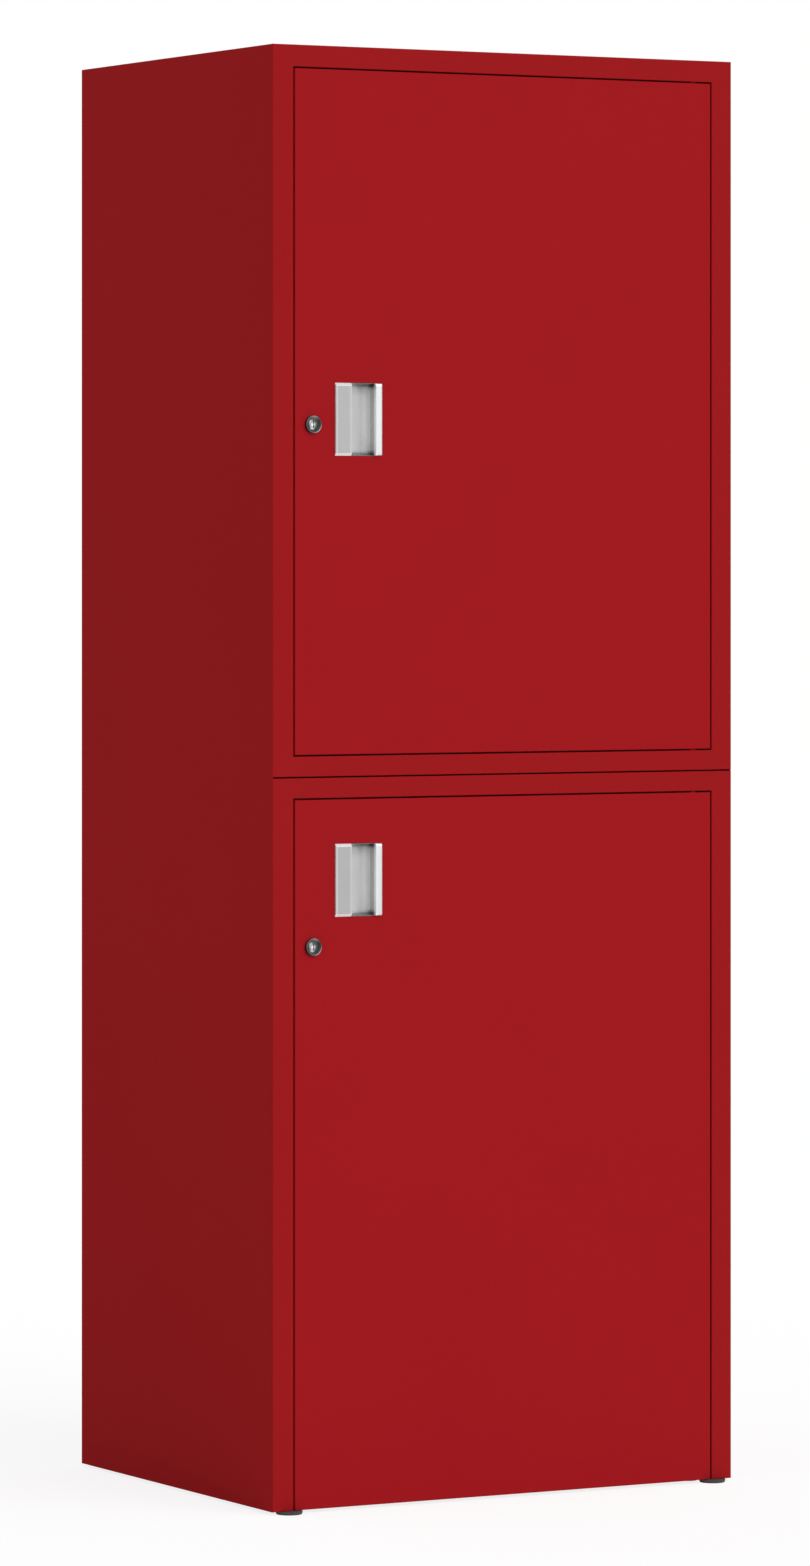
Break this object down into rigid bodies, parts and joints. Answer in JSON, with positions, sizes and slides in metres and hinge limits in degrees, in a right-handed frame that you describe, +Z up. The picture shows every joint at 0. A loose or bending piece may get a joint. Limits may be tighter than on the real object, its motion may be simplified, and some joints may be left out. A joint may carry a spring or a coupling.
{
  "type": "tool storage side locker",
  "caption": "Tall narrow red steel side locker with an upper and a lower hinged door, recessed pulls, cam locks, shelves inside and low round feet.",
  "frame": {"origin": "on the floor under the middle of the locker's bounding box", "axes": "+Z up, -Y out of the door side, +X towards the hinge side"},
  "size_m": [0.558, 0.4573, 1.5272],
  "materials": {
    "red_paint": "smooth satin red enamel",
    "zinc_plate": "bright zinc plate",
    "satin_metal": "satin silver die casting",
    "lock_chrome": "polished chrome plate",
    "nylon": "natural nylon",
    "catch_plastic": "black moulded plastic",
    "magnet": "ground ferrite",
    "black_rubber": "moulded black rubber"
  },
  "bodies": {
    "cabinet": {"back_panel": "red_paint", "catch_magnets": "magnet", "catch_screws": "zinc_plate", "door_buffers": "black_rubber", "floor_panel": "red_paint", "foot_screws": "zinc_plate", "front_left_base_plate": "red_paint", "front_left_foot": "black_rubber", "front_right_base_plate": "red_paint", "front_right_foot": "black_rubber", "hinge_plates": "zinc_plate", "left_side_panel": "red_paint", "lower_left_shelf_strips": "zinc_plate", "lower_left_stile": "red_paint", "lower_pivot_bracket": "red_paint", "lower_pivot_pins": "red_paint", "lower_right_shelf_strips": "zinc_plate", "lower_right_stile": "red_paint", "lower_shelf_1": "red_paint", "lower_shelf_2": "red_paint", "lower_top_rail": "red_paint", "magnetic_catches": "catch_plastic", "middle_deck": "red_paint", "rear_left_base_plate": "red_paint", "rear_left_foot": "black_rubber", "rear_right_base_plate": "red_paint", "rear_right_foot": "black_rubber", "right_side_panel": "red_paint", "shelf_clips": "zinc_plate", "top_panel": "red_paint", "upper_bottom_rail": "red_paint", "upper_left_shelf_strips": "zinc_plate", "upper_left_stile": "red_paint", "upper_pivot_pins": "red_paint", "upper_right_shelf_strips": "zinc_plate", "upper_right_stile": "red_paint", "upper_shelf_1": "red_paint", "upper_shelf_2": "red_paint", "upper_top_rail": "red_paint"},
    "upper_door": {"upper_door_skin": "red_paint", "upper_door_liner": "red_paint", "upper_door_pull": "satin_metal", "upper_pull_screws": "zinc_plate", "upper_lock_body": "lock_chrome", "upper_lock_nut": "zinc_plate", "upper_door_bushes": "nylon"},
    "lower_door": {"lower_door_skin": "red_paint", "lower_door_liner": "red_paint", "lower_door_pull": "satin_metal", "lower_pull_screws": "zinc_plate", "lower_lock_body": "lock_chrome", "lower_lock_nut": "zinc_plate", "lower_door_bushes": "nylon"},
    "upper_lock_cylinder": {"upper_lock_plug": "lock_chrome", "upper_lock_cam": "zinc_plate", "upper_cam_screw": "zinc_plate"},
    "lower_lock_cylinder": {"lower_lock_plug": "lock_chrome", "lower_lock_cam": "zinc_plate", "lower_cam_screw": "zinc_plate"}
  },
  "joints": [
    {"name": "upper_door_hinge", "type": "hinge", "parent": "cabinet", "child": "upper_door", "pos_m": [0.2328, -0.21135, 1.1457], "axis": [0, 0, 1], "range_deg": [0, 110]},
    {"name": "upper_lock_turn", "type": "hinge", "parent": "upper_door", "child": "upper_lock_cylinder", "pos_m": [-0.2318, -0.21835, 1.1324], "axis": [0, 1, 0], "range_deg": [0, 90]},
    {"name": "lower_door_hinge", "type": "hinge", "parent": "cabinet", "child": "lower_door", "pos_m": [0.2328, -0.21135, 0.3727], "axis": [0, 0, 1], "range_deg": [0, 110]},
    {"name": "lower_lock_turn", "type": "hinge", "parent": "lower_door", "child": "lower_lock_cylinder", "pos_m": [-0.2318, -0.21835, 0.5886], "axis": [0, 1, 0], "range_deg": [0, 90]}
  ]
}
